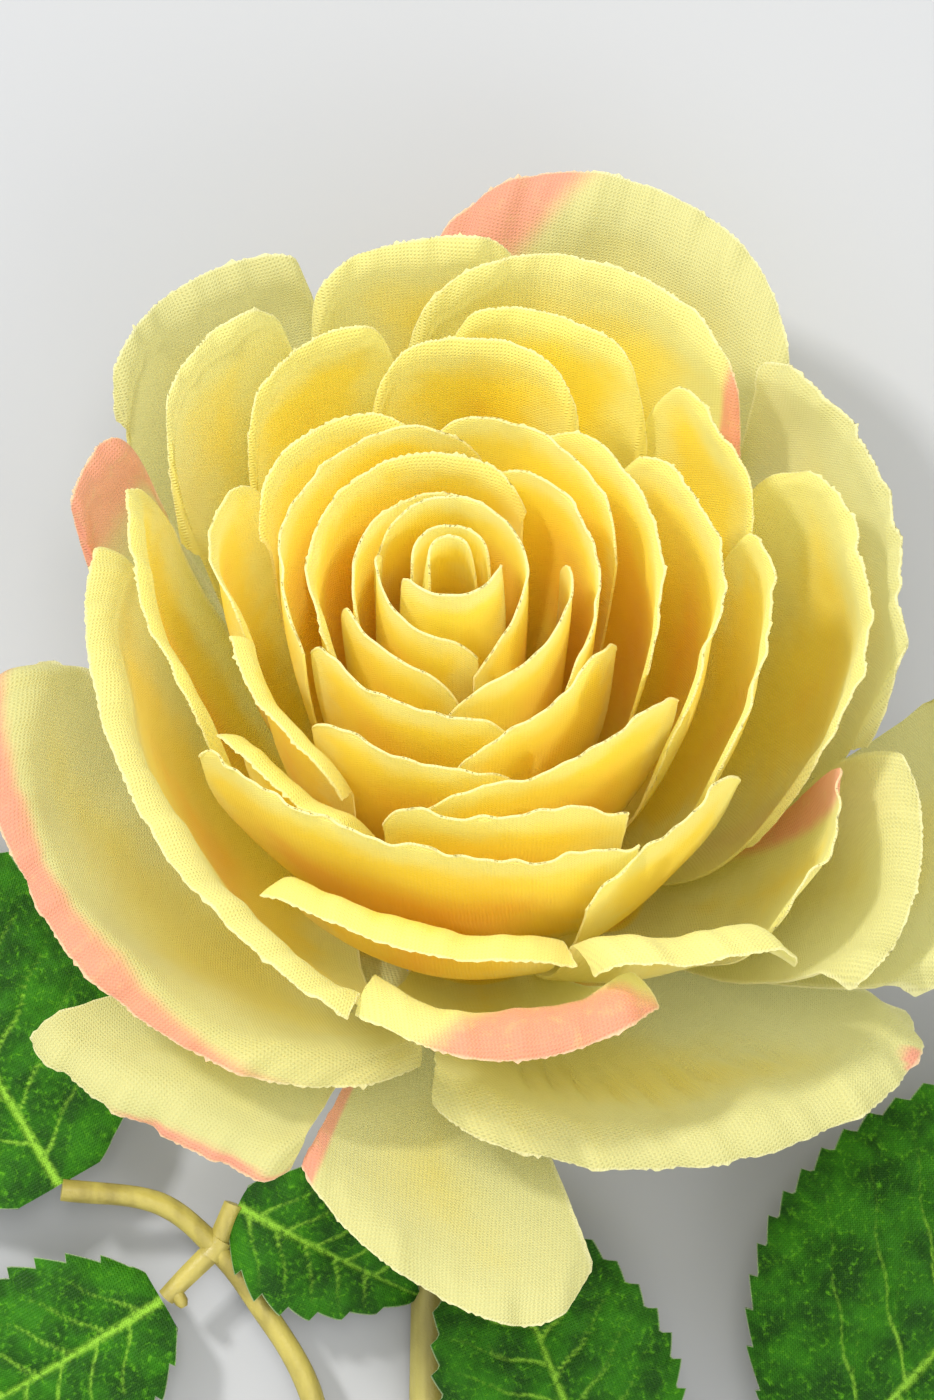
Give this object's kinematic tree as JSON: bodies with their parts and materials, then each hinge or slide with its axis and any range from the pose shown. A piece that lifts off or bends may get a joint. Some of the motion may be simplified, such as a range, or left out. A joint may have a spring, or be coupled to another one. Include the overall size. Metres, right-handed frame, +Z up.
{
  "type": "artificial cut rose",
  "caption": "Single long-stemmed fabric rose, fully open, lying on a surface with its bloom tilted up; layered cloth petals, serrated cloth leaves on moulded plastic stalks and stem",
  "frame": {"origin": "middle of the underside of the whole object, on the surface it lies on", "axes": "+Z up; +Y along the stem towards the bloom; +X to the right as seen from above with the bloom at the top"},
  "size_m": [0.1838, 0.4532, 0.0898],
  "materials": {
    "petal_golden": "finely woven polyester cloth, matt, golden towards the base and lemon at the rim, cut edges slightly frayed",
    "petal_pale": "finely woven polyester cloth, matt, pale greenish lemon with coral blush on some rims",
    "leaf_cloth": "woven cloth printed dark green with lighter veins, edges cut in teeth",
    "stem_plastic": "moulded olive plastic with a faint mould seam, satin"
  },
  "bodies": {
    "root": {"bud_petal_1": "petal_golden", "bud_petal_2": "petal_golden", "bud_petal_3": "petal_golden", "bud_petal_4": "petal_golden", "bud_petal_5": "petal_golden", "bud_petal_6": "petal_golden", "bud_petal_7": "petal_golden", "bud_petal_8": "petal_golden", "inner_petal_1": "petal_golden", "inner_petal_2": "petal_golden", "inner_petal_3": "petal_golden", "inner_petal_4": "petal_golden", "inner_petal_5": "petal_golden", "inner_petal_6": "petal_golden", "inner_petal_7": "petal_golden", "inner_petal_8": "petal_golden", "inner_petal_9": "petal_golden", "inner_petal_10": "petal_golden", "inner_petal_11": "petal_golden", "inner_petal_12": "petal_golden", "middle_petal_1": "petal_golden", "middle_petal_2": "petal_golden", "middle_petal_3": "petal_golden", "middle_petal_4": "petal_golden", "middle_petal_5": "petal_golden", "middle_petal_6": "petal_golden", "middle_petal_7": "petal_golden", "middle_petal_8": "petal_golden", "middle_petal_9": "petal_golden", "middle_petal_10": "petal_golden", "middle_petal_11": "petal_golden", "middle_petal_12": "petal_golden", "outer_petal_1": "petal_pale", "outer_petal_2": "petal_pale", "outer_petal_3": "petal_pale", "outer_petal_4": "petal_pale", "outer_petal_5": "petal_pale", "outer_petal_6": "petal_pale", "outer_petal_7": "petal_pale", "outer_petal_8": "petal_pale", "guard_petal_1": "petal_pale", "guard_petal_2": "petal_pale", "guard_petal_3": "petal_pale", "guard_petal_4": "petal_pale", "guard_petal_5": "petal_pale", "guard_petal_6": "petal_pale", "guard_petal_7": "petal_pale", "guard_petal_8": "petal_pale", "guard_petal_9": "petal_pale", "guard_petal_10": "petal_pale", "calyx": "stem_plastic", "stem": "stem_plastic", "left_stalk": "stem_plastic", "right_stalk": "stem_plastic", "left_leaflet_1": "leaf_cloth", "left_leaflet_2": "leaf_cloth", "left_leaflet_3": "leaf_cloth", "right_leaflet_1": "leaf_cloth", "right_leaflet_2": "leaf_cloth", "right_leaflet_3": "leaf_cloth"}
  },
  "joints": []
}
